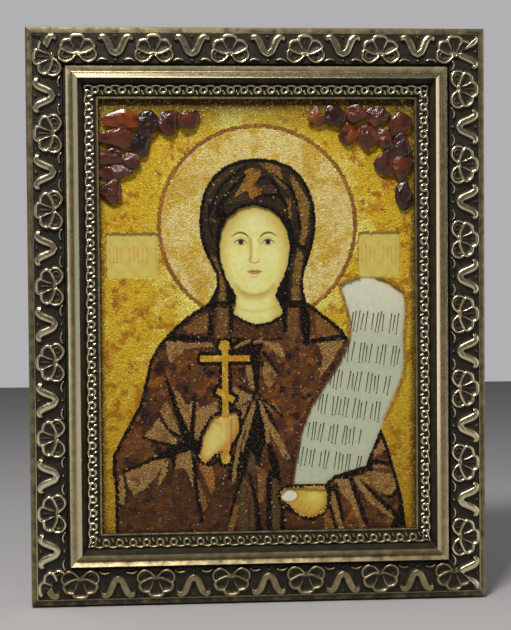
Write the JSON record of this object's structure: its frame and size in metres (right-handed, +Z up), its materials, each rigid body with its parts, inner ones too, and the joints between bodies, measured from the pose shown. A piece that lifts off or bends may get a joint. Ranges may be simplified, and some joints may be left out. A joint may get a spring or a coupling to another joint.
{
  "type": "framed amber mosaic icon panel",
  "caption": "Icon panel of amber crumbs and pebbles on a painted board, in an ornate antique gold frame, hung from a sawtooth hanger.",
  "frame": {"origin": "middle of the sawtooth hanger's flat back, which bears on the wall, behind the middle of the top rail", "axes": "+Z up, +X to the right as one looks at the picture, -Y out of the wall, the way the picture faces"},
  "size_m": [0.201, 0.0206, 0.252],
  "materials": {
    "moulding_gold": "cast ornament on wood, antique champagne gold rubbed over a near-black ground",
    "painted_board": "smooth oil paint under varnish on plywood",
    "hardboard": "bare brown hardboard",
    "steel": "zinc-plated",
    "amber_pebble": "dark cherry amber, polished and half clear",
    "crumb_background": "glossy yellow amber crumbs",
    "crumb_halo_ring": "glossy brown-orange amber crumbs",
    "crumb_halo": "glossy pale cream amber crumbs",
    "crumb_veil": "glossy dark brown amber crumbs",
    "crumb_mantle": "glossy maroon-brown amber crumbs",
    "crumb_cross": "glossy gold amber crumbs"
  },
  "bodies": {
    "root": {"amber_background": "crumb_background", "amber_cross": "crumb_cross", "amber_halo": "crumb_halo", "amber_halo_ring": "crumb_halo_ring", "amber_mantle": "crumb_mantle", "amber_stone_left_1": "amber_pebble", "amber_stone_left_10": "amber_pebble", "amber_stone_left_2": "amber_pebble", "amber_stone_left_3": "amber_pebble", "amber_stone_left_4": "amber_pebble", "amber_stone_left_5": "amber_pebble", "amber_stone_left_6": "amber_pebble", "amber_stone_left_7": "amber_pebble", "amber_stone_left_8": "amber_pebble", "amber_stone_left_9": "amber_pebble", "amber_stone_right_1": "amber_pebble", "amber_stone_right_10": "amber_pebble", "amber_stone_right_11": "amber_pebble", "amber_stone_right_12": "amber_pebble", "amber_stone_right_2": "amber_pebble", "amber_stone_right_3": "amber_pebble", "amber_stone_right_4": "amber_pebble", "amber_stone_right_5": "amber_pebble", "amber_stone_right_6": "amber_pebble", "amber_stone_right_7": "amber_pebble", "amber_stone_right_8": "amber_pebble", "amber_stone_right_9": "amber_pebble", "amber_veil": "crumb_veil", "backing_board": "hardboard", "frame_rail_bottom": "moulding_gold", "frame_rail_left": "moulding_gold", "frame_rail_right": "moulding_gold", "frame_rail_top": "moulding_gold", "framer_point_bottom_1": "steel", "framer_point_left_1": "steel", "framer_point_left_2": "steel", "framer_point_right_1": "steel", "framer_point_right_2": "steel", "framer_point_top_1": "steel", "hanger_nail_left": "steel", "hanger_nail_right": "steel", "icon_board": "painted_board", "sawtooth_hanger": "steel"}
  },
  "joints": []
}
